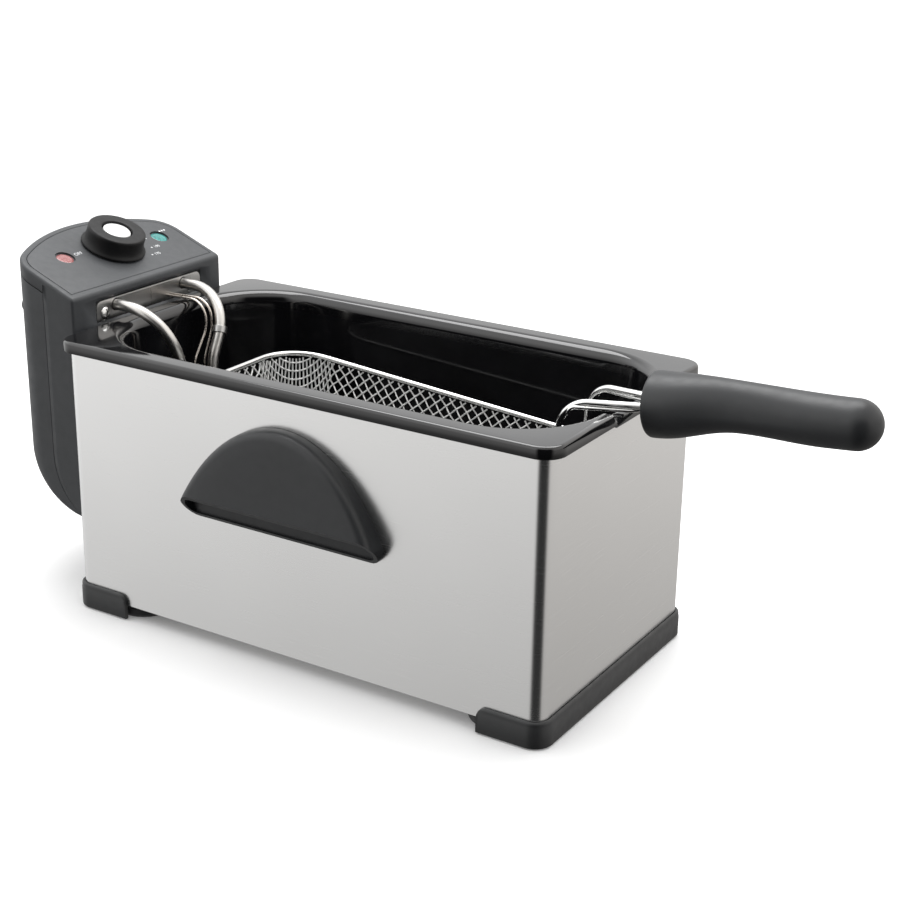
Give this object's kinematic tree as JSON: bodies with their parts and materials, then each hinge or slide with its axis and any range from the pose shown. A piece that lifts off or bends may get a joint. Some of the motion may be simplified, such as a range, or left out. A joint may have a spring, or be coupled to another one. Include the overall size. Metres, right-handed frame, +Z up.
{
  "type": "deep fryer",
  "caption": "Countertop deep fryer with a steel housing, lift-out enamelled oil pot, hang-on control unit with heater, and a wire basket with a folding handle.",
  "frame": {"origin": "bottom centre of the whole object's bounding box, on the table under the feet", "axes": "+X along the length towards the basket handle's free end, +Y across to the far long side, +Z up"},
  "size_m": [0.6259, 0.2334, 0.2573],
  "materials": {
    "wrap_steel": "satin, brushed along the length",
    "plain_steel": "satin",
    "screw_steel": "bright, machined",
    "tube_steel": "satin silver",
    "wire_chrome": "bright plated wire",
    "copper": "fine drawn tube",
    "pot_enamel": "glossy black enamel",
    "unit_plastic": "fine matt grain, dark grey",
    "fascia_plastic": "fine matt grain, dark grey",
    "foot_plastic": "matt dark grey",
    "handle_plastic": "satin black-grey",
    "frame_plastic": "matt black",
    "knob_plastic": "satin black",
    "cap_plastic": "pale silver",
    "inner_plastic": "plain dark",
    "button_plastic": "red",
    "ceramic": "white ceramic",
    "red_clear": "moulded red lens",
    "green_clear": "moulded green lens",
    "pad_rubber": "matt",
    "gasket_rubber": "matt"
  },
  "bodies": {
    "housing": {"housing_wrap": "wrap_steel", "base_plate": "plain_steel", "front_base_foot": "foot_plastic", "rear_base_foot": "foot_plastic", "foot_pads": "pad_rubber", "support_frame": "frame_plastic", "side_handle_near": "handle_plastic", "side_handle_far": "handle_plastic", "side_handle_screws": "screw_steel", "base_screws": "screw_steel", "guide_rails": "plain_steel", "interlock_pin": "plain_steel"},
    "oil_pot": {"oil_pot": "pot_enamel"},
    "control_unit": {"control_housing": "unit_plastic", "control_fascia": "fascia_plastic", "control_rear_cover": "unit_plastic", "cover_screws": "screw_steel", "heater_plate": "plain_steel", "plate_gasket": "gasket_rubber", "plate_screws": "screw_steel", "heating_element": "tube_steel", "heater_terminals": "ceramic", "sensor_capillaries": "copper", "sensor_bulbs": "tube_steel", "bulb_clip": "plain_steel", "thermostat_body": "inner_plastic", "thermal_cutout": "inner_plastic", "microswitch": "inner_plastic", "terminal_block": "ceramic", "red_lens": "red_clear", "green_lens": "green_clear", "neon_lamps": "ceramic", "cord_gland": "fascia_plastic"},
    "temperature_knob": {"control_knob": "knob_plastic", "knob_cap": "cap_plastic", "thermostat_shaft": "tube_steel"},
    "reset_button": {"reset_button": "button_plastic"},
    "basket": {"basket_mesh": "wire_chrome", "basket_rim_wire": "wire_chrome", "basket_bracket": "wire_chrome"},
    "basket_handle": {"handle_wires": "wire_chrome", "rest_hook": "wire_chrome", "handle_grip": "handle_plastic"}
  },
  "joints": [
    {"name": "pot_lift", "type": "slide", "parent": "housing", "child": "oil_pot", "axis": [0, 0, 1], "range_m": [0, 0.17]},
    {"name": "control_unit_lift", "type": "slide", "parent": "oil_pot", "child": "control_unit", "axis": [0, 0, 1], "range_m": [0, 0.17]},
    {"name": "knob_turn", "type": "hinge", "parent": "control_unit", "child": "temperature_knob", "pos_m": [-0.27718, 0.0052, 0.23655], "axis": [-0.3584, 0, -0.9336], "range_deg": [0, 270]},
    {"name": "reset_press", "type": "slide", "parent": "control_unit", "child": "reset_button", "axis": [0, 0, 1], "range_m": [0, 0.0025], "stiffness_N_per_m": 400},
    {"name": "basket_lift", "type": "slide", "parent": "control_unit", "child": "basket", "axis": [0, 0, 1], "range_m": [0, 0.17]},
    {"name": "handle_fold", "type": "hinge", "parent": "basket", "child": "basket_handle", "pos_m": [0.11056, 0, 0.13945], "axis": [0, -1, 0], "range_deg": [0, 150]}
  ]
}
